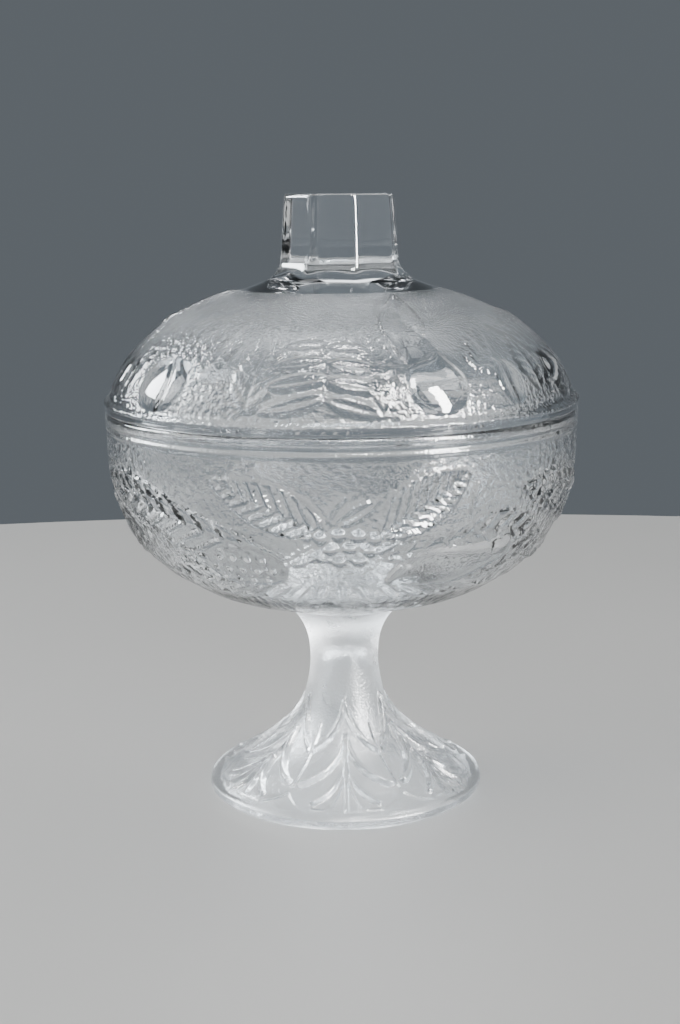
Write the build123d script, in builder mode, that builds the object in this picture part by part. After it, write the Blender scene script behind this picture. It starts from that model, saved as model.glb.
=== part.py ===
from build123d import *
from math import cos, radians, sin
import os

# Covered candy dish of pressed glass: a pedestal foot, a bowl fused to it, and a loose
# domed lid with an eight-sided knob. Millimetres, +Z up, origin at the centre of the
# circle on which the foot stands. Sections are drawn as (radius, height), and a slope is
# the angle, in degrees, that the glass makes with the table at that point.

# Foot and stem
foot_diameter = 89.0
foot_height = 61.0          # table to the face that the bowl is fused to
foot_band = 4.0             # height of the plain edge round the foot
foot_edge_round = 0.5
contact_inset = 1.9         # from the foot's edge in to the ring that touches the table
contact_rise = 1.4          # height of the tuck under the foot's edge
contact_width = 2.6
spread_inset = 12.1         # where the foot's slope passes under the leaf tips
spread_height = 9.4
spread_slope = 25.0
ankle_radius = 18.2         # where the slope turns up into the stem
ankle_height = 19.4
ankle_slope = 45.0
stem_diameter = 22.0        # at the waist, the narrowest place
waist_drop = 18.0           # from the fused face down to the waist
joint_diameter = 38.0       # the fused face between stem and bowl
joint_slope = 31.0
foot_wall = 4.2
bore_diameter = 11.2        # the hollow inside the stem
plug_thickness = 13.0       # glass between the end of that hollow and the fused face

# Bowl
rim_diameter = 148.0
bowl_height = 64.5          # fused face to the top of the rim
bowl_wall = 4.5
floor_thickness = 9.0       # glass on the axis, above the fused face
rim_band = 6.0              # plain band round the mouth
rim_band_step = 0.5         # how far the band stands out
rim_width = 5.0             # flat top that the lid rests on
rim_edge_round = 0.8
side_inset, side_drop, side_slope = 1.0, 18.2, 81.0       # inset and drop: from the rim
corner_inset, corner_rise, corner_slope = 11.6, 21.3, 45.0     # rise: above the fused face
under_inset, under_rise, under_slope = 31.0, 7.8, 12.0

# Lid
flange_height = 3.8
shoulder_inset, shoulder_rise, shoulder_slope = 2.0, 0.9, 81.0   # step in to the dome
dome_height = 40.0          # seat to the dome's crown, on the axis
haunch_inset, haunch_height, haunch_slope = 6.6, 14.0, 62.0
slope_inset, slope_height, slope_slope = 19.6, 26.6, 30.0
crown_radius, crown_drop, crown_slope = 24.0, 3.0, 8.0
lid_wall = 4.2
lid_clearance = 0.8         # between the locating ring and the bowl's mouth, on the radius
ring_depth = 3.5
ring_width = 3.2

# Knob
knob_sides = 8
knob_top_radius = 17.3      # to the corners
knob_base_radius = 18.9
knob_height = 21.0
knob_turn = 14.0            # degrees that its corners stand off the X axis
knob_flare_radius = 27.5
knob_flare_height = 7.0
knob_root = 0.2             # on the axis, from the lid's inside up to the flare's foot
knob_corner_round = 1.6
knob_top_round = 1.0

# Worked out from the sizes above
foot_radius = foot_diameter / 2
stem_radius = stem_diameter / 2
joint_radius = joint_diameter / 2
bore_radius = bore_diameter / 2
rim_radius = rim_diameter / 2
rim_height = foot_height + bowl_height
mouth_radius = rim_radius - rim_width
ring_radius = mouth_radius - lid_clearance
ring_inside = ring_radius - ring_width

os.makedirs("parts", exist_ok=True)


def heading(slope):
    """Direction out from the axis and up, at that slope."""
    return (cos(radians(slope)), sin(radians(slope)))


def behind(point, wall, slope, side):
    """The point a wall's thickness towards the axis: side is 1 above it, -1 below it."""
    return (point[0] - wall * sin(radians(slope)), point[1] + side * wall * cos(radians(slope)))


# --- pedestal foot: hollow from below, face to face with the bowl on top
with BuildPart() as pedestal_foot:
    with BuildSketch(Plane.XZ) as foot_section:
        contact_outside = foot_radius - contact_inset
        contact_inside = contact_outside - contact_width
        edge_top = (foot_radius - foot_edge_round, foot_band)
        spread = (foot_radius - spread_inset, spread_height)
        ankle = (ankle_radius, ankle_height)
        waist = (stem_radius, foot_height - waist_drop)
        bore_top = (0, foot_height - plug_thickness)
        bore_shoulder = (bore_radius, foot_height - plug_thickness - bore_radius)
        with BuildLine():
            Polyline((contact_inside, 0), (contact_outside, 0), (foot_radius, contact_rise),
                     (foot_radius, foot_band - foot_edge_round), edge_top)
            Spline(edge_top, spread, ankle, waist, tangents=[heading(160), heading(90)])
            Spline(waist, (joint_radius, foot_height),
                   tangents=[heading(90), heading(joint_slope)])
            Polyline((joint_radius, foot_height), (0, foot_height), bore_top)
            RadiusArc(bore_top, bore_shoulder, bore_radius)
            Spline(bore_shoulder, behind(ankle, foot_wall, ankle_slope, -1),
                   behind(spread, foot_wall, spread_slope, -1), (contact_inside, 0),
                   tangents=[heading(-90), heading(-42)])
        make_face()
    revolve(axis=Axis.Z)
pedestal_foot.part.label = "pedestal_foot"
export_step(pedestal_foot.part, "parts/pedestal_foot.step")


# --- bowl: flat rim for the lid, smooth inside
with BuildPart() as bowl:
    with BuildSketch(Plane.XZ) as bowl_section:
        under = (rim_radius - under_inset, foot_height + under_rise)
        corner = (rim_radius - corner_inset, foot_height + corner_rise)
        side = (rim_radius - side_inset, rim_height - side_drop)
        band_bottom = rim_height - rim_band
        band_foot = (rim_radius - rim_band_step, band_bottom)
        floor = (0, foot_height + floor_thickness)
        with BuildLine():
            Line((0, foot_height), (joint_radius, foot_height))
            Spline((joint_radius, foot_height), under, corner, side, band_foot,
                   tangents=[heading(joint_slope), heading(83)])
            Polyline(band_foot, (rim_radius, band_bottom + rim_band_step),
                     (rim_radius, rim_height), (mouth_radius, rim_height),
                     (mouth_radius, band_bottom))
            Spline((mouth_radius, band_bottom), behind(side, bowl_wall, side_slope, 1),
                   behind(corner, bowl_wall, corner_slope, 1),
                   behind(under, bowl_wall, under_slope, 1), floor,
                   tangents=[heading(-90), heading(180)])
            Line(floor, (0, foot_height))
        make_face()
        fillet(bowl_section.vertices().group_by(Axis.Y)[-1], radius=rim_edge_round)
    revolve(axis=Axis.Z)
bowl.part.label = "bowl"
export_step(bowl.part, "parts/bowl.step")


def knob_outline(height, radius):
    """One octagon of the knob, with softened corners."""
    with BuildSketch(Plane.XY.offset(height)) as outline:
        RegularPolygon(radius, side_count=knob_sides, rotation=knob_turn)
        fillet(outline.vertices(), radius=knob_corner_round)
    return outline.sketch


# --- lid: dome, seat flange, locating ring and solid knob, pressed in one
with BuildPart() as lid:
    with BuildSketch(Plane.XZ) as lid_section:
        ring_foot = rim_height - ring_depth
        flange_top = rim_height + flange_height
        crown_top = rim_height + dome_height
        shoulder = (rim_radius - shoulder_inset, flange_top + shoulder_rise)
        haunch = (rim_radius - haunch_inset, rim_height + haunch_height)
        slope = (rim_radius - slope_inset, rim_height + slope_height)
        crown = (crown_radius, crown_top - crown_drop)
        with BuildLine():
            Polyline((ring_inside, ring_foot), (ring_radius, ring_foot),
                     (ring_radius, rim_height), (rim_radius, rim_height),
                     (rim_radius, flange_top), shoulder)
            Spline(shoulder, haunch, slope, crown, (0, crown_top),
                   tangents=[heading(180 - shoulder_slope), heading(180)])
            Line((0, crown_top), (0, crown_top - lid_wall))
            Spline((0, crown_top - lid_wall), behind(crown, lid_wall, crown_slope, -1),
                   behind(slope, lid_wall, slope_slope, -1),
                   behind(haunch, lid_wall, haunch_slope, -1), (ring_inside, flange_top),
                   tangents=[heading(0), heading(-90)])
            Line((ring_inside, flange_top), (ring_inside, ring_foot))
        make_face()
    revolve(axis=Axis.Z)
    knob_base = crown_top - crown_drop + knob_flare_height
    flare_foot_height = crown_top - lid_wall + knob_root
    flare_sink = crown_top - crown_drop - flare_foot_height
    flare_foot = knob_outline(flare_foot_height, knob_flare_radius + flare_sink)
    base = knob_outline(knob_base, knob_base_radius)
    top = knob_outline(knob_base + knob_height, knob_top_radius)
    loft([flare_foot, base], ruled=True)
    loft([base, top], ruled=True)
    fillet(lid.faces().sort_by(Axis.Z)[-1].edges(), radius=knob_top_round)
lid.part.label = "lid"
export_step(lid.part, "parts/lid.step")
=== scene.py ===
import bpy
import numpy as np
from math import atan2, cos, pi, radians, sin, sqrt, tan
from mathutils import Euler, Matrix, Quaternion, Vector


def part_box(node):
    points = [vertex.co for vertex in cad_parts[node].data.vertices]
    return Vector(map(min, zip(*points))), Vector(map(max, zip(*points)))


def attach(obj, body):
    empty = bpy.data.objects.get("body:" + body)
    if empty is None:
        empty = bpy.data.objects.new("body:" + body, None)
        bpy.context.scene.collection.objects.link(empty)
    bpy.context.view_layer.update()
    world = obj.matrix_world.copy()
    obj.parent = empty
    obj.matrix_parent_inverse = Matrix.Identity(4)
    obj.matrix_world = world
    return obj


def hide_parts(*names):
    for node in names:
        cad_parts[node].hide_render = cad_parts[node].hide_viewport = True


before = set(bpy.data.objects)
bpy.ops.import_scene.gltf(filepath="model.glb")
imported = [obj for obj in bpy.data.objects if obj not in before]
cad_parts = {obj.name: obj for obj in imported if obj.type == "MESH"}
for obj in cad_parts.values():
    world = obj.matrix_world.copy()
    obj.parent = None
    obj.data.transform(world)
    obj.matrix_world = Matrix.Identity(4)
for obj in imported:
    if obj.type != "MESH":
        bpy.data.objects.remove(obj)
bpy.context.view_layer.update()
mm = 0.001

# places that the CAD model fixes, in mm
footBox, bowlBox, lidBox = (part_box(node) for node in ("pedestal_foot", "bowl", "lid"))
footRadius = footBox[1].x / mm
jointHeight = bowlBox[0].z / mm
rimRadius = bowlBox[1].x / mm
rimHeight = bowlBox[1].z / mm
topHeight = lidBox[1].z / mm
neckRadius = 18.9  # where the stem spreads out under the bowl
neckInside = 18.0  # the hidden discs that close the stem and the bowl there


# turned glass: a section is a chain of (radius, height) points in mm

def deselectAll():
    if bpy.context.object and bpy.context.object.mode != "OBJECT":
        bpy.ops.object.mode_set(mode="OBJECT")
    bpy.ops.object.select_all(action="DESELECT")


def softRun(points, spacing):  # a soft curve through a few points, in even steps
    pts = np.array(points, float)
    knots = np.r_[0, np.cumsum(np.linalg.norm(np.diff(pts, axis=0), axis=1))]
    slopes = np.gradient(pts, knots, axis=0)
    out = []
    for d in np.linspace(0, knots[-1], max(2, round(knots[-1] / spacing)) + 1):
        k = min(len(knots) - 2, max(0, np.searchsorted(knots, d, side="right") - 1))
        h = knots[k + 1] - knots[k]
        t = (d - knots[k]) / h
        start = (2 * t ** 3 - 3 * t ** 2 + 1) * pts[k] + (t ** 3 - 2 * t ** 2 + t) * h * slopes[k]
        end = (3 * t ** 2 - 2 * t ** 3) * pts[k + 1] + (t ** 3 - t ** 2) * h * slopes[k + 1]
        out.append(tuple(start + end))
    return out


def roundedRun(points, radius, steps=3):  # straight runs with every inner corner softened
    out = [points[0]]
    for before, here, after in zip(points, points[1:], points[2:]):
        a, b, c = (np.array(p, float) for p in (before, here, after))
        cut = min(radius, 0.45 * np.linalg.norm(a - b), 0.45 * np.linalg.norm(c - b))
        start = b + (a - b) / np.linalg.norm(a - b) * cut
        end = b + (c - b) / np.linalg.norm(c - b) * cut
        for t in np.linspace(0, 1, steps + 1):
            out.append(tuple((1 - t) ** 2 * start + 2 * t * (1 - t) * b + t * t * end))
    return out + [points[-1]]


def turnSection(name, points, columns):  # extrude the chain, turn it, face it outwards
    deselectAll()
    bpy.ops.mesh.primitive_plane_add(size=1, location=(0, 0, 0))
    piece = bpy.context.object
    piece.name = name
    bpy.ops.object.mode_set(mode="EDIT")
    bpy.ops.mesh.select_mode(type="VERT")
    bpy.ops.mesh.select_all(action="SELECT")
    bpy.ops.mesh.merge(type="CENTER")
    bpy.ops.transform.translate(value=(points[0][0] * mm, 0, points[0][1] * mm))
    for a, b in zip(points, points[1:]):
        step = ((b[0] - a[0]) * mm, 0, (b[1] - a[1]) * mm)
        bpy.ops.mesh.extrude_region_move(TRANSFORM_OT_translate={"value": step})
    bpy.ops.object.mode_set(mode="OBJECT")
    turn = piece.modifiers.new("turn", "SCREW")
    turn.angle, turn.screw_offset, turn.axis = 2 * pi, 0, "Z"
    turn.steps = turn.render_steps = columns
    turn.use_merge_vertices = True
    turn.merge_threshold = 1e-6
    bpy.ops.object.modifier_apply(modifier=turn.name)
    bpy.ops.object.mode_set(mode="EDIT")
    bpy.ops.mesh.select_all(action="SELECT")
    bpy.ops.mesh.remove_doubles(threshold=1e-6)
    bpy.ops.object.mode_set(mode="OBJECT")
    facing = 0.0
    for face in piece.data.polygons:
        facing += face.area * (face.normal.x * face.center.x + face.normal.y * face.center.y)
    if facing < 0:
        bpy.ops.object.mode_set(mode="EDIT")
        bpy.ops.mesh.select_all(action="SELECT")
        bpy.ops.mesh.flip_normals()
        bpy.ops.object.mode_set(mode="OBJECT")
    return piece


def pointsOf(piece):  # every vertex, in mm
    flat = np.zeros(len(piece.data.vertices) * 3)
    piece.data.vertices.foreach_get("co", flat)
    return flat.reshape(-1, 3) / mm


# seams: pairs of (radius, height) rings that meet; the two are never level with each other, because
# a bridge between level rings can come out twisted
def joinSections(name, sections, seams):
    deselectAll()
    for part in sections:
        part.select_set(True)
    bpy.context.view_layer.objects.active = sections[0]
    bpy.ops.object.join()
    piece = bpy.context.object
    piece.name = piece.data.name = name
    for pair in seams:
        pts = pointsOf(piece)
        picked = np.zeros(len(pts), bool)
        for radius, height in pair:
            picked |= np.hypot(np.hypot(pts[:, 0], pts[:, 1]) - radius, pts[:, 2] - height) < 0.02
        bpy.ops.object.mode_set(mode="EDIT")
        bpy.ops.mesh.select_mode(type="VERT")
        bpy.ops.mesh.select_all(action="DESELECT")
        bpy.ops.object.mode_set(mode="OBJECT")
        piece.data.vertices.foreach_set("select", picked)
        bpy.ops.object.mode_set(mode="EDIT")
        bpy.ops.mesh.select_mode(type="EDGE")
        bpy.ops.mesh.bridge_edge_loops()
        bpy.ops.object.mode_set(mode="OBJECT")
    bpy.ops.object.mode_set(mode="EDIT")
    bpy.ops.mesh.select_all(action="SELECT")
    bpy.ops.mesh.normals_make_consistent(inside=False)
    bpy.ops.object.mode_set(mode="OBJECT")
    bpy.ops.object.shade_smooth_by_angle(angle=radians(50))
    print(" ", name, len(piece.data.polygons), "faces")
    return piece


# pressed relief: heights in mm over (angle, along), where angle is in degrees from the front, and
# along is the way over the wall from its start in mm

def startRelief(piece, points, period, start=0.0, polish=0.2):  # the blank wall, with nothing cut yet
    pts = pointsOf(piece)
    chain = np.array(points)
    travel = start + np.r_[0, np.cumsum(np.linalg.norm(np.diff(chain, axis=0), axis=1))]
    order = np.argsort(chain[:, 1])
    along = np.interp(pts[:, 2], chain[order, 1], travel[order])
    return {"angle": np.degrees(np.arctan2(pts[:, 0], -pts[:, 1])), "along": along,
            "radius": np.interp(along, travel, chain[:, 0]),
            "chain": chain, "travel": travel, "period": period, "polish": polish,
            "height": np.zeros(len(pts)), "stipple": np.ones(len(pts)), "plain": np.ones(len(pts))}


def ease(x):
    x = np.clip(x, 0, 1)
    return x * x * (3 - 2 * x)


def nearby(wall, place, reach):  # the points round a place, and how far they are from it
    y = wall["along"] - place[1]
    index = np.nonzero(abs(y) < reach)[0]
    turn = (wall["angle"][index] - place[0] + wall["period"] / 2) % wall["period"] - wall["period"] / 2
    x = np.radians(turn) * wall["radius"][index]
    close = abs(x) < reach
    return index[close], x[close], y[index[close]]


def fromTo(wall, base, tip):  # the same for one place seen from another
    radius = np.interp(tip[1], wall["travel"], wall["chain"][:, 0])
    return radians(tip[0] - base[0]) * radius, tip[1] - base[1]


def lay(wall, index, mask, height, polish=0.2):  # a figure covers what is under it
    wall["height"][index] = wall["height"][index] * (1 - mask) + height * mask
    wall["plain"][index] *= 1 - mask
    wall["stipple"][index] = wall["stipple"][index] * (1 - mask) + (1 - polish) * mask


def alongCurve(x, y, bend, end):  # share of the way, distance to the side, length
    t = np.linspace(0, 1, 48)
    cx = 2 * t * (1 - t) * bend[0] + t * t * end[0]
    cy = 2 * t * (1 - t) * bend[1] + t * t * end[1]
    k = ((x[:, None] - cx) ** 2 + (y[:, None] - cy) ** 2).argmin(1)
    tx, ty = np.gradient(cx), np.gradient(cy)
    size = np.hypot(tx, ty)
    tx, ty, length = tx / size, ty / size, size.sum() * 47 / 48
    dx, dy = x - cx[k], y - cy[k]
    return t[k] + (dx * tx[k] + dy * ty[k]) / length, tx[k] * dy - ty[k] * dx, length


# widths: the two sides of the midrib; sweep: angle of the veins to it; lined: how far the veins are
# raised as thin cords; pointed: how sharply both ends run out
def leaf(wall, base, tip, widths, veins=6, sweep=50, bend=0.0, rise=1.0, lobed=0.25, rib=0.4,
         lined=0.0, pointed=0.75):
    end = fromTo(wall, base, tip)
    size = sqrt(end[0] ** 2 + end[1] ** 2)
    index, x, y = nearby(wall, base, size + max(widths))
    middle = (end[0] / 2 - end[1] / size * bend * 2, end[1] / 2 + end[0] / size * bend * 2)
    t, side, length = alongCurve(x, y, middle, end)
    out = abs(side)
    width = np.where(side > 0, widths[0], widths[1]) * np.sin(pi * np.clip(t, 0, 1) ** 0.8) ** pointed
    curl = out ** 2 / max(widths) * 0.35
    lane = veins * (t - (out / tan(radians(sweep)) - curl) / length) + 0.15
    lobe = abs(np.sin(pi * lane)) if veins else np.ones_like(t)
    inside = width * (1 - lobed * (1 - lobe ** 0.5)) - out
    inside = np.minimum(inside, np.minimum(t, 1 - t) * length + 0.3)
    pillow = 1 - (1 - np.clip(inside / 1.6, 0, 1)) ** 2
    height = rise * pillow * (1 - rib + rib * lobe ** 0.7)
    if lined:
        spacing = length / max(veins, 1) * sin(radians(sweep))
        cord = np.exp(-((lane - np.round(lane)) * spacing / 0.55) ** 2) * ease(inside / 0.8)
        edge = np.exp(-((inside - 0.5) / 0.5) ** 2)
        height = rise * ((1 - lined) * pillow + lined * np.maximum(cord, 0.8 * edge))
    height -= rise * 0.4 * np.exp(-(side / 0.55) ** 2) * ease(inside)
    lay(wall, index, ease(inside / 0.7 + 0.5), np.maximum(height, 0.05), wall["polish"])


def fruit(wall, place, radii, tilt=0.0, rise=2.0, cleft=None):  # a rounded swelling
    index, x, y = nearby(wall, place, max(radii) * 1.4)
    c, s = cos(radians(tilt)), sin(radians(tilt))
    u, v = (c * x + s * y) / radii[0], (c * y - s * x) / radii[1]
    far = np.hypot(u, v)
    height = rise * np.sqrt(np.clip(1 - far ** 2, 0, 1))
    if cleft is not None:  # a seam that runs from the stalk over the cheek
        height -= 0.35 * rise * np.exp(-((u - cleft * np.cos(v * 1.5)) * radii[0] / 0.8) ** 2) * (far < 1)
    lay(wall, index, ease((1 - far) * min(radii) / 0.6 + 0.5), np.maximum(height, 0), 0.95)


def pear(wall, place, radii, neck, rise=1.9):  # neck: (angle, along, radius) of its narrow end
    index, x, y = nearby(wall, place, max(radii) * 2.6)
    end = fromTo(wall, place, neck)
    t, side, length = alongCurve(x, y, (end[0] / 2, end[1] / 2), end)
    t = np.clip(t, -1, 2)
    body = np.hypot((t * length) / radii[0], side / radii[1])
    width = radii[1] + (neck[2] - radii[1]) * ease(t)
    stalk = np.hypot(np.clip(t - 1, 0, 9) * length, side) / width
    far = np.where(t > 0, np.minimum(stalk, 9), body)
    height = rise * np.sqrt(np.clip(1 - far ** 2, 0, 1)) * np.minimum(1, width / radii[1] + 0.15)
    lay(wall, index, ease((1 - far) * neck[2] / 0.6 + 0.5), np.maximum(height, 0), 0.95)


def stalk(wall, base, tip, bend=0.0, width=1.2, rise=0.8):  # a bare stem, raised as a cord
    end = fromTo(wall, base, tip)
    size = sqrt(end[0] ** 2 + end[1] ** 2)
    index, x, y = nearby(wall, base, size + 2 * width)
    middle = (end[0] / 2 - end[1] / size * bend * 2, end[1] / 2 + end[0] / size * bend * 2)
    t, side, length = alongCurve(x, y, middle, end)
    over = np.clip(np.maximum(-t, t - 1), 0, 1) * length
    far = np.hypot(side, over) / width
    lay(wall, index, ease((1 - far) * width / 0.4 + 0.3), rise * np.sqrt(np.clip(1 - far ** 2, 0, 1)), 0.7)


def seeds(wall, place, radii, pitch=4.4, ring=1.25, depth=0.35):  # ringed pits, as on a strawberry
    for row in range(-3, 4):
        for column in range(-4, 5):
            dx, dy = (column + 0.5 * (row % 2)) * pitch, row * pitch * 0.85
            if (dx / radii[0]) ** 2 + (dy / radii[1]) ** 2 > 0.72:
                continue
            index, x, y = nearby(wall, place, max(radii) * 1.3)
            far = np.hypot(x - dx, y - dy)
            wall["height"][index] += depth * np.exp(-((far - ring) / 0.4) ** 2)
            wall["height"][index] -= depth * 1.4 * np.exp(-(far / 0.8) ** 2)


def beads(wall, low, high, pitch, rise, seed, stretch=1.0):  # the stippled ground, bead by bead
    radius = np.interp((low + high) / 2, wall["travel"], wall["chain"][:, 0])
    columns = int(round(2 * pi * radius / pitch))
    rows = int(np.ceil((high - low) / (pitch * stretch))) + 2
    dice = np.random.RandomState(seed)
    jitterX, jitterY = dice.uniform(-0.3, 0.3, (2, columns, rows))
    size = dice.uniform(0.6, 1.0, (columns, rows))
    u = (wall["angle"] % 360) / 360 * columns
    v = (wall["along"] - low) / (pitch * stretch)
    best = np.zeros(len(u))
    for i in (-1, 0, 1):
        for j in (-1, 0, 1):
            a, b = np.floor(u).astype(int) + i, np.floor(v).astype(int) + j
            inside = (b >= 0) & (b < rows)
            ka, kb = a % columns, np.clip(b, 0, rows - 1)
            du = u - (a + 0.5 + 0.5 * (b % 2) + jitterX[ka, kb])
            dv = v - (b + 0.5 + jitterY[ka, kb])
            best = np.maximum(best, inside * size[ka, kb] * np.clip(1 - (du ** 2 + dv ** 2) / 0.3, 0, 1))
    band = ease((wall["along"] - low) / 1.0) * ease((high - wall["along"]) / 2.0)
    wall["height"] += rise * np.sqrt(best) * band * wall["plain"]


def press(piece, wall):  # raise the wall by its relief, and keep the stipple mask for the finish
    heights = np.maximum(wall["height"], 0)
    deepest = heights.max()
    group = piece.vertex_groups.new(name="relief")
    for i in np.nonzero(heights > 1e-4)[0].tolist():
        group.add([i], heights[i] / deepest, "REPLACE")
    mask = piece.data.attributes.new("stipple", "FLOAT", "POINT")
    mask.data.foreach_set("value", wall["stipple"].astype(np.float32))
    deselectAll()
    piece.select_set(True)
    bpy.context.view_layer.objects.active = piece
    lift = piece.modifiers.new("relief", "DISPLACE")
    lift.vertex_group = group.name
    lift.strength, lift.mid_level = deepest * mm, 0
    bpy.ops.object.modifier_apply(modifier=lift.name)
    piece.vertex_groups.clear()
    print("  relief up to", round(float(deepest), 2), "mm")


# satin: how much rougher the stippled places are; pits: depth of the fine grain in mm
def pressedGlass(name, tint, smoothness, satin, pits):
    made = bpy.data.materials.new(name)
    made.use_nodes = True
    nodes, link = made.node_tree.nodes, made.node_tree.links.new
    nodes.clear()
    out = nodes.new("ShaderNodeOutputMaterial")
    glass = nodes.new("ShaderNodeBsdfPrincipled")
    glass.inputs["Base Color"].default_value = (*tint, 1)
    glass.inputs["Transmission Weight"].default_value = 1
    glass.inputs["IOR"].default_value = 1.52
    where = nodes.new("ShaderNodeTexCoord")
    mask = nodes.new("ShaderNodeAttribute")
    mask.attribute_name = "stipple"
    grain = nodes.new("ShaderNodeTexVoronoi")  # tiny pits of the mould's stippled ground
    grain.inputs["Scale"].default_value = 1 / (0.8 * mm)
    link(where.outputs["Object"], grain.inputs["Vector"])
    wave = nodes.new("ShaderNodeTexNoise")  # the faint ripple of pressed glass
    wave.inputs["Scale"].default_value = 90
    wave.inputs["Detail"].default_value = 3
    link(where.outputs["Object"], wave.inputs["Vector"])
    ripple = nodes.new("ShaderNodeBump")
    ripple.inputs["Distance"].default_value = 0.25 * mm
    ripple.inputs["Strength"].default_value = 0.25
    link(wave.outputs["Fac"], ripple.inputs["Height"])
    pitted = nodes.new("ShaderNodeBump")
    pitted.inputs["Distance"].default_value = pits * mm
    link(mask.outputs["Fac"], pitted.inputs["Strength"])
    link(grain.outputs["Distance"], pitted.inputs["Height"])
    link(ripple.outputs["Normal"], pitted.inputs["Normal"])
    link(pitted.outputs["Normal"], glass.inputs["Normal"])
    patch = nodes.new("ShaderNodeMath")  # rougher where stippled, and in faint patches
    patch.operation = "MULTIPLY"
    link(mask.outputs["Fac"], patch.inputs[0])
    link(wave.outputs["Fac"], patch.inputs[1])
    rough = nodes.new("ShaderNodeMapRange")
    rough.inputs["From Max"].default_value = 0.6
    rough.inputs["To Min"].default_value = smoothness
    rough.inputs["To Max"].default_value = smoothness + satin
    link(patch.outputs["Value"], rough.inputs["Value"])
    link(rough.outputs["Result"], glass.inputs["Roughness"])
    clear = nodes.new("ShaderNodeBsdfTransparent")
    clear.inputs["Color"].default_value = (0.92, 0.935, 0.95, 1)
    path = nodes.new("ShaderNodeLightPath")
    passes = nodes.new("ShaderNodeMath")  # the room's light reaches the floor straight through the glass
    passes.operation = "MAXIMUM"
    link(path.outputs["Is Shadow Ray"], passes.inputs[0])
    link(path.outputs["Is Diffuse Ray"], passes.inputs[1])
    mix = nodes.new("ShaderNodeMixShader")
    link(passes.outputs["Value"], mix.inputs["Fac"])
    link(glass.outputs["BSDF"], mix.inputs[1])
    link(clear.outputs["BSDF"], mix.inputs[2])
    link(mix.outputs["Shader"], out.inputs["Surface"])
    return made


# lid: its knob, dome and locating ring
lidSizes = {
    "knobTop": 17.3, "knobBase": 18.9, "knobHeight": 21.0, "knobTurn": 14.0, "knobRound": 1.0,
    "flareRadius": 27.5, "flareHeight": 7.0,
    "ringRadius": 68.2, "ringInside": 65.0, "ringDepth": 3.5,
    "reliefShare": 0.5, "reliefFrom": 2.0, "reliefTo": 60,
    "rows": 0.62, "columns": 840, "plainColumns": 280, "insideColumns": 140,
}


def lidChains():
    k = lidSizes
    knobBase = topHeight - k["knobHeight"]
    crown = knobBase - k["flareHeight"]
    knobChain = [(0, topHeight), (6, topHeight), (12, topHeight)]
    knobChain += roundedRun([(15, topHeight), (k["knobTop"], topHeight),
                             (k["knobTop"] + 0.4, topHeight - 4)], k["knobRound"], 5)
    knobChain += softRun([(k["knobTop"] + 0.5, topHeight - 5), (k["knobBase"], knobBase + 0.5)], 4)
    knobChain += softRun([(k["knobBase"] + 0.5, knobBase - 1), (k["knobBase"] + 3.2, crown + 2.6),
                          (k["flareRadius"] - 1.5, crown + 0.7),
                          (k["flareRadius"] + 2.5, crown - 0.7)], 0.9)
    seat = rimHeight
    shoulder = (rimRadius - 2.0, seat + 4.6)
    domeChain = softRun([(k["flareRadius"] + 3.5, crown - 0.9), (38.0, crown - 3.0), (46.5, crown - 6.6),
                         (rimRadius - 19.6, seat + 26.6), (rimRadius - 12.3, seat + 20.3),
                         (rimRadius - 6.6, seat + 14), (rimRadius - 3.2, seat + 8), shoulder], k["rows"])
    domeChain += [(rimRadius - 1.75, seat + 4.1), (rimRadius - 1.25, seat + 3.7),
                  (rimRadius - 0.7, seat + 3.3), (rimRadius - 0.2, seat + 3.0),
                  (rimRadius, seat + 2.6), (rimRadius, seat + 2.0)]
    insideChain = [(rimRadius, seat + 1.9)] + roundedRun(
        [(rimRadius, seat + 1.2), (rimRadius, seat), (k["ringRadius"], seat),
         (k["ringRadius"], seat - k["ringDepth"]), (k["ringInside"], seat - k["ringDepth"]),
         (k["ringInside"], seat + 2)], 0.5)
    insideChain += softRun([(k["ringInside"], seat + 3.8), (rimRadius - 10.3, seat + 12.0),
                            (rimRadius - 21.7, seat + 23.0), (36, seat + 29.6), (23.4, seat + 32.8),
                            (12, seat + 35.0), (0, seat + 35.8)], 2.6)
    return knobChain, domeChain, insideChain


def facetKnob(piece):  # the round knob is pressed flat on eight sides, softly at the corners
    k = lidSizes
    low, high = topHeight - k["knobHeight"] - k["flareHeight"], topHeight - k["knobHeight"]
    for vert in piece.data.vertices:
        height = vert.co.z / mm
        share = float(ease((height - low) / (high - low)))
        angle = atan2(vert.co.y, vert.co.x)
        spread = 0.0
        for side in range(8):
            facing = cos(angle - radians(k["knobTurn"] + 22.5 + 45 * side))
            spread += max(facing, 0) ** 40
        flat = cos(pi / 8) * 1.012 / spread ** (1 / 40)
        scale = 1 + (flat - 1) * share
        vert.co.x *= scale
        vert.co.y *= scale


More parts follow.
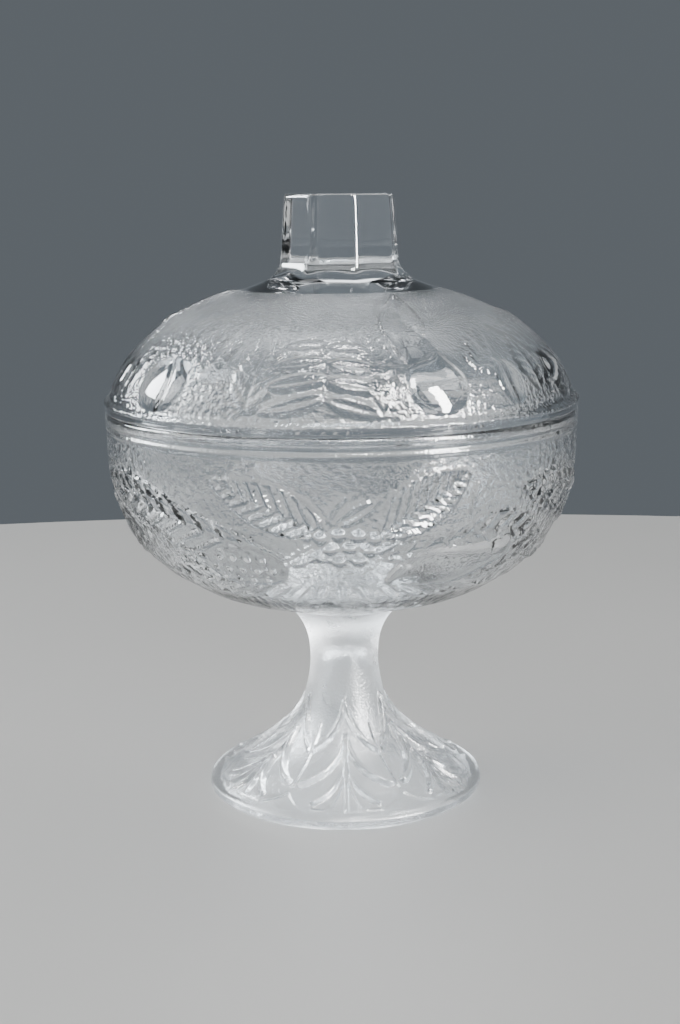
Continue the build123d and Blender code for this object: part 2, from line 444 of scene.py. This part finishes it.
def lidPattern(wall):
    # leaves round the peach
    leaf(wall, (-40, 20), (-33, 44), (4.0, 4.0), 6, 40)
    leaf(wall, (-50, 20), (-70, 36), (4.5, 4.5), 6, 40)
    leaf(wall, (-47, 21), (-60, 40), (4.2, 4.2), 6, 40)
    leaf(wall, (-44, 21), (-46, 42), (4.5, 4.5), 6, 40)
    leaf(wall, (-40, 14), (-29, 29), (4.5, 4.5), 5, 40)
    fruit(wall, (-48.5, 14), (10.5, 9.3), 10, 2.2, cleft=0.35)
    leaf(wall, (-22, 6.5), (-20, 31.5), (7, 8.5), 6, 38, rise=1.1)
    # petals, then the vine leaf over them in five lobes
    for step in range(4):
        leaf(wall, (-18 + 6.2 * step, 24), (-21 + 7.4 * step, 38.5), (4.8, 4.8), 0, rise=2.0, lined=0.5)
    leaf(wall, (6, 24), (3.5, 37), (3.8, 3.8), 0, rise=1.8, lined=0.5)
    leaf(wall, (16.5, 22), (29, 59), (6.8, 6.8), 0, rise=2.2, lined=0.7, pointed=1.25)
    leaf(wall, (8, 20), (12, 33), (4, 4), 0, rise=1.8, lined=0.5)
    for low, out, drop in ((29, 13.5, 1.5), (23.5, 15.5, 2.5), (18, 16, 3.5), (12.5, 16.5, 5.5)):
        leaf(wall, (-3, low), (-3 - out, low - drop), (3.3, 3.3), 0, rise=1.9)
        leaf(wall, (-4, low - 1), (out * 0.85 - 3, low - 1 - drop), (3.3, 3.3), 0, rise=1.9)
    leaf(wall, (9, 7), (11.5, 28), (3.8, 3.8), 4, 45, rise=1.3)
    # the other fruit
    leaf(wall, (33, 24), (45, 17), (4.2, 4.2), 6, 40)
    leaf(wall, (36, 20), (46, 35), (4.6, 4.6), 6, 40)
    leaf(wall, (55, 9), (56, 30), (6.0, 6.0), 6, 50)
    fruit(wall, (44.5, 14), (5.6, 7.2), 0, 1.8, cleft=-0.3)
    pear(wall, (23, 14.5), (9.0, 9.2), (21, 28.5, 4.4), 2.3)
    wall["height"] *= lidSizes["reliefShare"]
    beads(wall, 1.9, 16, 1.45, 0.38, 3)
    wall["stipple"] *= 0.4 + 0.6 * ease((wall["along"] - 14) / 24)  # beads below, frost above


def makeLid():
    knobChain, domeChain, insideChain = lidChains()
    knob = turnSection("knobPart", knobChain, lidSizes["plainColumns"])
    facetKnob(knob)
    dome = turnSection("domePart", domeChain, lidSizes["columns"])
    wall = startRelief(dome, domeChain[::-1], 120, start=2.0)
    lidPattern(wall)
    wall["height"] *= ease((wall["along"] - lidSizes["reliefFrom"]) / 0.7)
    wall["height"] *= ease((lidSizes["reliefTo"] - wall["along"]) / 3)
    press(dome, wall)
    inside = turnSection("insidePart", insideChain, lidSizes["insideColumns"])
    return joinSections("pressed_lid", [knob, dome, inside],
                        [(knobChain[-1], domeChain[0]), (domeChain[-1], insideChain[0])])


# bowl: a banded rim, a deep side and a rounded underside
bowlSizes = {
    "mouthRadius": 69.0, "lip": 0.12, "plugDrop": 0.15,
    "polish": 0.68, "reliefFrom": 6.2, "reliefTo": 88,
    "rows": 0.7, "lowRows": 1.15, "columns": 768, "insideColumns": 128,
}


def bowlChains():
    b = bowlSizes
    top = rimHeight - b["lip"]
    rimChain = [(rimRadius, top - 0.6), (rimRadius, top - 1.5), (rimRadius, top - 2.4),
                (rimRadius - 0.05, top - 3.0), (rimRadius - 0.45, top - 3.3),
                (rimRadius - 0.65, top - 3.7), (rimRadius - 0.55, top - 4.1),
                (rimRadius - 0.15, top - 4.5), (rimRadius - 0.05, top - 5.0),
                (rimRadius - 0.15, top - 5.5), (rimRadius - 0.45, top - 5.9)]
    side = softRun([(rimRadius - 0.6, top - 6.5), (rimRadius - 0.6, top - 11.5),
                    (rimRadius - 1.0, rimHeight - 18.2), (rimRadius - 4.6, rimHeight - 30.5),
                    (rimRadius - 11.5, rimHeight - 43.2),
                    (rimRadius - 17.6, rimHeight - 49.0)], b["rows"])
    under = softRun([side[-1], (rimRadius - 31, rimHeight - 56.7), (31.5, jointHeight + 4.6),
                     (22.5, jointHeight + 1.7), (neckRadius, jointHeight)], b["lowRows"])
    insideChain = [(rimRadius - 0.6, top), (b["mouthRadius"] + 0.6, top), (b["mouthRadius"], top - 0.6)]
    insideChain += softRun([(b["mouthRadius"], top - 5.9), (68.5, rimHeight - 17.4),
                            (64.8, rimHeight - 29.5), (59.0, rimHeight - 40), (51, rimHeight - 48),
                            (42.1, rimHeight - 52.3), (22, rimHeight - 55.0),
                            (0, rimHeight - 55.5)], 2.6)
    return rimChain + side + under[1:], insideChain


def bowlPattern(wall):
    leaf(wall, (-40, 24), (-75, 18), (6, 9), 8, 38, rise=1.1, lobed=0.08, lined=0.75)
    leaf(wall, (-13, 38), (-68, 21), (5, 10), 10, 36, bend=3, rise=1.3, lobed=0.08, lined=0.75)
    leaf(wall, (24, 32), (60, 36), (5.0, 6.0), 7, 38, bend=-4, rise=1.0, lobed=0.08, lined=0.7)
    leaf(wall, (-30, 46), (-56, 46), (3.5, 5.0), 6, 40, rise=0.9, lobed=0.08, lined=0.6)
    fruit(wall, (-25, 40), (13.0, 8.0), 0, 1.5)
    seeds(wall, (-25, 40), (13.0, 8.0))
    leaf(wall, (10, 36), (30, 31), (3.0, 4.5), 4, 40, rise=0.9, lobed=0.08, lined=0.6)
    pear(wall, (21, 43), (12.0, 9.0), (43, 37.5, 4.8), 1.7)
    leaf(wall, (40, 46), (62, 35), (3.0, 3.6), 4, 40, rise=1.0, lobed=0.08, lined=0.5)
    leaf(wall, (-4, 27), (-30, 13), (7.5, 6.5), 9, 38, rise=1.6, lobed=0.06, lined=0.8)
    leaf(wall, (8, 28), (29, 11), (7.0, 9.0), 9, 38, rise=1.5, lobed=0.06, lined=0.8)
    leaf(wall, (-3, 25), (1.5, 16), (2.6, 3), 0, rise=1.1, lined=0.6)
    leaf(wall, (-2, 25), (8, 17.5), (2.2, 2.6), 0, rise=1.1, lined=0.6)
    stalk(wall, (31, 15), (33, 31), 2.5, 0.8, 0.7)
    stalk(wall, (-6, 35.5), (12, 31), 2.0, 1.0, 1.0)
    stalk(wall, (-12, 38), (-3, 30), 1.5, 0.8, 0.8)
    for place in ((-5, 29), (-1, 28), (3.3, 28.5), (7, 29.5), (-3, 32.6), (1.4, 32.2),
                  (5.6, 33), (-1, 36.5), (3.6, 36.3)):
        fruit(wall, place, (2.3, 2.2), 0, 1.1)
    for spray in range(-5, 7):  # short leaves that fan out from under the berries
        leaf(wall, (spray * 4.5, 44 + abs(spray) * 0.6), (spray * 9.0, 58), (2.0, 2.0), 0, rise=0.6)
    beads(wall, 6.0, 50, 1.45, 0.36, 5)
    beads(wall, 50, 76, 2.1, 0.3, 9, stretch=2.4)


def makeBowl():
    outsideChain, insideChain = bowlChains()
    outer = turnSection("outerPart", outsideChain, bowlSizes["columns"])
    wall = startRelief(outer, outsideChain, 120, start=0.6, polish=bowlSizes["polish"])
    bowlPattern(wall)
    wall["height"] *= ease((wall["along"] - bowlSizes["reliefFrom"]) / 1.0)
    wall["height"] *= ease((bowlSizes["reliefTo"] - wall["along"]) / 6)
    press(outer, wall)
    inside = turnSection("insidePart", insideChain, bowlSizes["insideColumns"])
    plugHeight = jointHeight - bowlSizes["plugDrop"]
    plugChain = [(neckInside, plugHeight), (neckInside / 2, plugHeight), (0, plugHeight)]
    plug = turnSection("plugPart", plugChain, bowlSizes["insideColumns"])
    return joinSections("pressed_bowl", [outer, inside, plug],
                        [(outsideChain[0], insideChain[0]), (outsideChain[-1], plugChain[0])])


# foot: a flared base under a hollow stem
footSizes = {
    "ringOutside": 42.6, "ringInside": 40.0, "hollowTop": 48.0, "stemLap": 0.15, "capRise": 0.3,
    "reliefFrom": 4.6, "reliefTo": 70,
    "rows": 0.62, "stemRows": 0.95, "columns": 512, "insideColumns": 128,
}


def footChains():
    f = footSizes
    edge = [(f["ringInside"], 0)]
    edge += roundedRun([(f["ringOutside"], 0), (footRadius, 1.4), (footRadius, 3.4),
                        (footRadius - 0.9, 4.15), (footRadius - 3.0, 4.6)], 0.5)
    slope = softRun([(footRadius - 3.0, 4.6), (footRadius - 6.5, 5.9), (32.4, 9.4),
                     (24.8, 14.0), (18.2, 19.9)], f["rows"])
    stem = softRun([slope[-1], (14.4, 26.0), (12.3, 33.0), (11.0, 43), (12.4, 52.5),
                    (15.2, 57.6), (neckRadius, jointHeight + f["stemLap"])], f["stemRows"])
    insideChain = softRun([(f["ringInside"] - 0.4, 0.5), (30.6, 5.6), (21.5, 11),
                           (15.2, 16.4), (10.2, 24), (7.4, 33), (5.6, 42.4)], 2.0)
    insideChain += softRun([(5.3, 44), (3.4, 46.9), (0, f["hollowTop"])], 1.0)
    return edge + slope[1:] + stem[1:], insideChain


def footPattern(wall):
    beads(wall, 5.5, 34, 1.5, 0.1, 8)
    for side in (-1, 1):
        # scalloped inner line of the rim band, then the fan's ribs from low to high
        stalk(wall, (0, 6.6), (side * 18, 8.6), side * 1.2, 0.8, 0.7)
        stalk(wall, (side * 18, 8.6), (side * 30, 15), side * -0.8, 0.8, 0.7)
        stalk(wall, (0, 24), (side * 7.5, 9.5), side * -0.5, 0.7, 1.0)
        stalk(wall, (0, 27), (side * 16, 11.5), side * -2.0, 1.0, 1.5)
        stalk(wall, (0, 37), (side * 26, 18), side * -3.0, 1.15, 1.9)
        stalk(wall, (0, 48), (side * 33, 30), side * -2.6, 1.0, 1.4)
    stalk(wall, (0, 36), (0, 8.0), 0, 0.8, 1.2)
    stalk(wall, (30, 40), (30, 17), 0, 0.7, 0.7)
    wall["height"] *= ease((wall["along"] - footSizes["reliefFrom"]) / 1.0)
    wall["height"] *= ease((footSizes["reliefTo"] - wall["along"]) / 6)


def makeFoot():
    outsideChain, insideChain = footChains()
    outer = turnSection("outerPart", outsideChain, footSizes["columns"])
    wall = startRelief(outer, outsideChain, 60, start=footSizes["ringInside"] - footSizes["ringOutside"])
    footPattern(wall)
    wall["stipple"] *= 0.55 + 0.45 * ease((wall["along"] - 24) / 20)  # the stem is the most frosted
    press(outer, wall)
    inside = turnSection("insidePart", insideChain, footSizes["insideColumns"])
    capHeight = jointHeight + footSizes["capRise"]
    capChain = [(neckInside, capHeight), (neckInside / 2, capHeight), (0, capHeight)]
    cap = turnSection("capPart", capChain, footSizes["insideColumns"])
    return joinSections("pressed_foot", [outer, inside, cap],
                        [(outsideChain[0], insideChain[0]), (outsideChain[-1], capChain[0])])


print("pressing the lid")
lidGlass = makeLid()
print("pressing the bowl")
bowlGlass = makeBowl()
print("pressing the foot")
footGlass = makeFoot()

finishes = {
    "lid_glass": {"tint": (0.955, 0.975, 0.99), "smoothness": 0.01, "satin": 0.2, "pits": 0.25},
    "bowl_glass": {"tint": (0.955, 0.975, 0.99), "smoothness": 0.01, "satin": 0.035, "pits": 0.06},
    "foot_glass": {"tint": (0.955, 0.975, 0.99), "smoothness": 0.12, "satin": 0.22, "pits": 0.15},
}
for piece, body, node, slot in ((lidGlass, "lid", "lid", "lid_glass"),
                                (bowlGlass, "footed_bowl", "bowl", "bowl_glass"),
                                (footGlass, "footed_bowl", "pedestal_foot", "foot_glass")):
    finish = pressedGlass(slot + "_finish", **finishes[slot])
    piece.data.materials.clear()
    piece.data.materials.append(finish)
    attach(piece, body)
    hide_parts(node)
    piece.visible_shadow = node == "pedestal_foot"  # clear bowl and lid hardly darken a table
    print(" ", piece.name, "rides on", body)


# studio: a pale floor, soft lamps and a quiet grey room
studio = {
    "floorRadius": 1.2, "floorBehind": 0.44, "floorColour": (0.62, 0.6, 0.57),
    "room": (0.115, 0.13, 0.145), "roomLight": 1.35, "middle": (0, 0, 0.11),
    "lampLeft": 11.0, "lampRight": 9.0, "lampTop": 6.0,
    "glintLeft": 32.0, "glintRight": 95.0, "glintAbove": 30.0,
}


def floorFinish():
    made = bpy.data.materials.new("floor_finish")
    made.use_nodes = True
    nodes, link = made.node_tree.nodes, made.node_tree.links.new
    paint = nodes["Principled BSDF"]
    paint.inputs["Roughness"].default_value = 0.55
    where = nodes.new("ShaderNodeTexCoord")
    cloud = nodes.new("ShaderNodeTexNoise")
    cloud.inputs["Scale"].default_value = 6
    link(where.outputs["Object"], cloud.inputs["Vector"])
    tone = nodes.new("ShaderNodeMapRange")
    tone.inputs["To Min"].default_value = 0.96
    tone.inputs["To Max"].default_value = 1.04
    link(cloud.outputs["Fac"], tone.inputs["Value"])
    colour = nodes.new("ShaderNodeVectorMath")
    colour.operation = "SCALE"
    colour.inputs[0].default_value = studio["floorColour"]
    link(tone.outputs["Result"], colour.inputs["Scale"])
    link(colour.outputs["Vector"], paint.inputs["Base Color"])
    return made


deselectAll()
bpy.ops.mesh.primitive_cylinder_add(vertices=256, radius=studio["floorRadius"], depth=0.03,
                                    location=(0, studio["floorBehind"] - studio["floorRadius"], -0.015))
floor = bpy.context.object
floor.name = "pale_floor"
floor.data.materials.append(floorFinish())


def softLamp(name, place, size, strength, colour=(1, 1, 1)):
    bpy.ops.object.light_add(type="AREA", location=place)
    lamp = bpy.context.object
    lamp.name = name
    lamp.data.shape = "RECTANGLE"
    lamp.data.size, lamp.data.size_y = size
    lamp.data.energy = strength
    lamp.data.color = colour
    lamp.visible_camera = False
    towards = Vector(studio["middle"]) - Vector(place)
    lamp.rotation_euler = towards.to_track_quat("-Z", "Y").to_euler()
    return lamp


print("lighting the studio")
softLamp("lamp_left", (-1.1, -0.15, 0.75), (0.5, 0.9), studio["lampLeft"], (0.93, 0.97, 1))
softLamp("lamp_right", (0.75, -0.75, 0.85), (0.35, 0.5), studio["lampRight"])
softLamp("lamp_top", (0.0, 0.5, 1.4), (1.2, 0.6), studio["lampTop"], (0.96, 0.98, 1))

# panes that only show as glints in the glass, and don't light the floor
for name, place, size, strength, colour in (
        ("glint_left", (-0.93, 0.33, 0.62), (0.35, 0.5), studio["glintLeft"], (0.9, 0.96, 1)),
        ("glint_right", (0.74, -0.6, 0.55), (0.2, 0.9), studio["glintRight"], (1, 1, 1)),
        ("glint_above", (0.12, -0.62, 1.1), (0.35, 0.3), studio["glintAbove"], (1, 1, 1))):
    softLamp(name, place, size, strength, colour).visible_diffuse = False

room = bpy.data.worlds.new("quiet_room")
bpy.context.scene.world = room
room.use_nodes = True
wallpaint = room.node_tree.nodes["Background"]
wallpaint.inputs["Color"].default_value = (*studio["room"], 1)
seen = room.node_tree.nodes.new("ShaderNodeLightPath")  # the backdrop stays darker than the room's light
level = room.node_tree.nodes.new("ShaderNodeMapRange")
level.inputs["To Min"].default_value = studio["roomLight"]
level.inputs["To Max"].default_value = 1
room.node_tree.links.new(seen.outputs["Is Camera Ray"], level.inputs["Value"])
room.node_tree.links.new(level.outputs["Result"], wallpaint.inputs["Strength"])

# camera: places in m, angles in degrees
view = {
    "aside": -0.00084, "away": 0.48718, "aboveRim": 0.06346, "lens": 54.49,
    "down": 11.425, "roll": -0.665,
}
bpy.ops.object.camera_add(location=(view["aside"], -view["away"], rimHeight * mm + view["aboveRim"]))
camera = bpy.context.object
camera.name = "view_camera"
camera.data.lens, camera.data.sensor_width = view["lens"], 36
camera.data.clip_start = 0.01
camera.rotation_mode = "QUATERNION"
camera.rotation_quaternion = (Euler((radians(90 - view["down"]), 0, 0)).to_quaternion()
                              @ Quaternion((0, 0, 1), radians(view["roll"])))
bpy.context.scene.camera = camera
